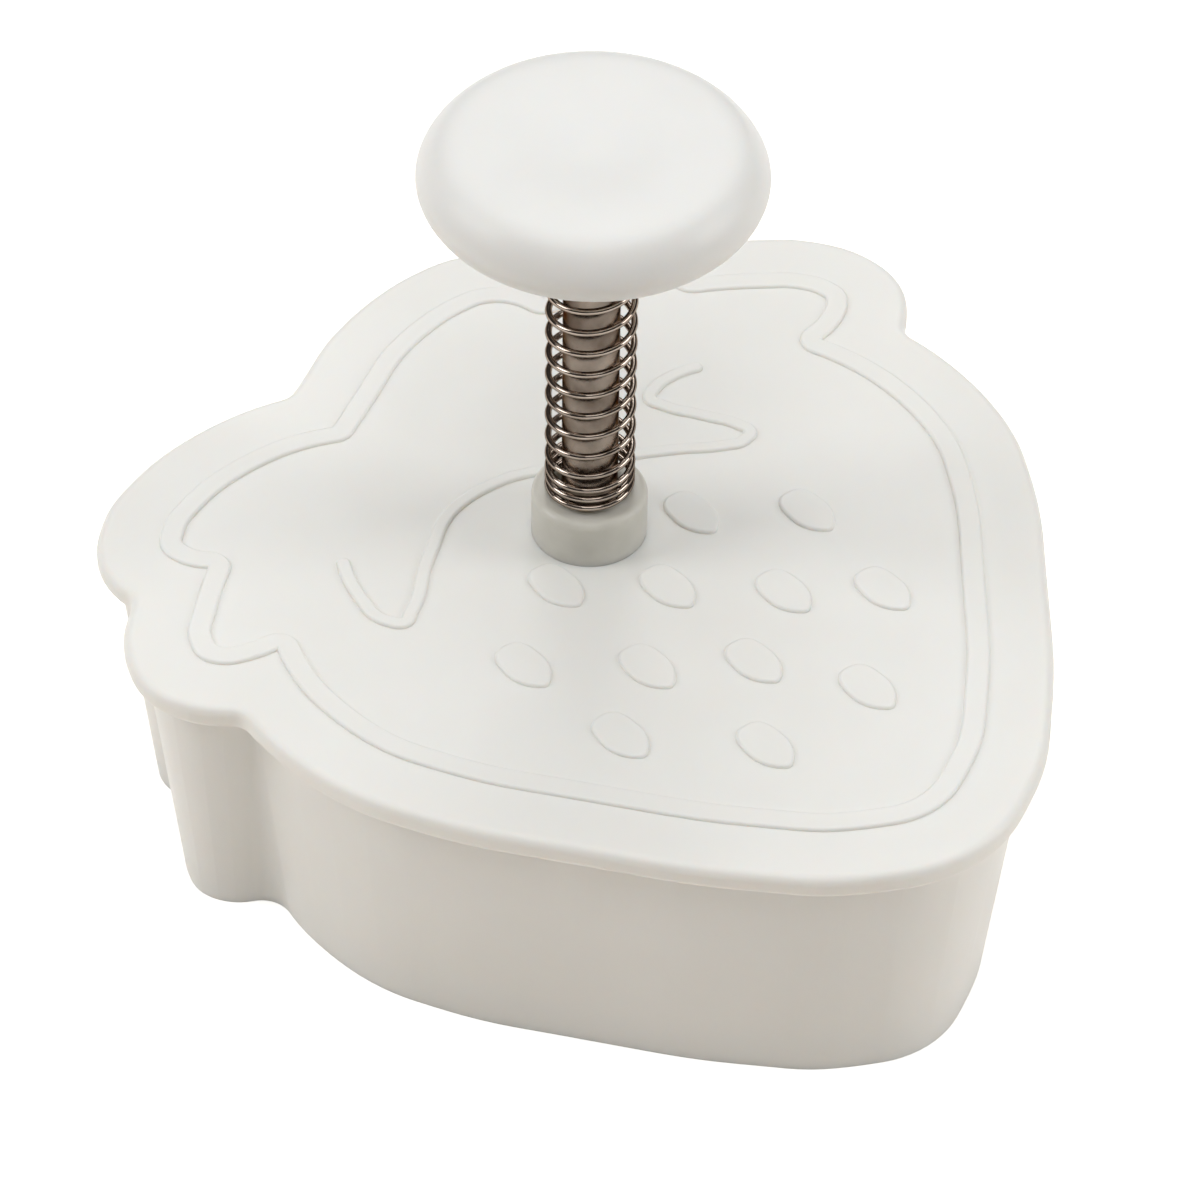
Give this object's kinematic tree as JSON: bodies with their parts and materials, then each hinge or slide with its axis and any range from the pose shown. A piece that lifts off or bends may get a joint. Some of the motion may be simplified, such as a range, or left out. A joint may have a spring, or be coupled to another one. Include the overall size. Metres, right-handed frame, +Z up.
{
  "type": "plunger cutter",
  "caption": "Strawberry-shaped plunger cutter: a moulded cutter with a raised fruit pattern, and a sprung plunger with a round thumb knob that pushes the cut shape out.",
  "frame": {"origin": "middle of the cutter's rim seen from above, on the plane of the cutting edge", "axes": "+Z up along the plunger, -Y towards the tip of the berry"},
  "size_m": [0.1014, 0.1032, 0.084],
  "materials": {
    "white_plastic": "satin",
    "knob_plastic": "satin",
    "nylon": "translucent",
    "steel": "bright",
    "spring_steel": "bright",
    "brass": "plain",
    "soft_washer": "matte"
  },
  "bodies": {
    "cutter": {"cover_plate": "white_plastic", "cutter_skirt": "white_plastic", "guide_collar": "nylon", "collar_clip": "steel"},
    "plunger": {"knob": "knob_plastic", "knob_insert": "brass", "plunger_rod": "steel", "return_spring": "spring_steel", "stop_washer": "soft_washer", "stamp_plate": "white_plastic", "stamp_washer": "steel", "stamp_screw": "steel"}
  },
  "joints": [
    {"name": "plunger_slide", "type": "slide", "parent": "cutter", "child": "plunger", "axis": [0, 0, -1], "range_m": [0, 0.018], "stiffness_N_per_m": 310, "springref_m": -0.006, "deforming": ["return_spring"]}
  ]
}
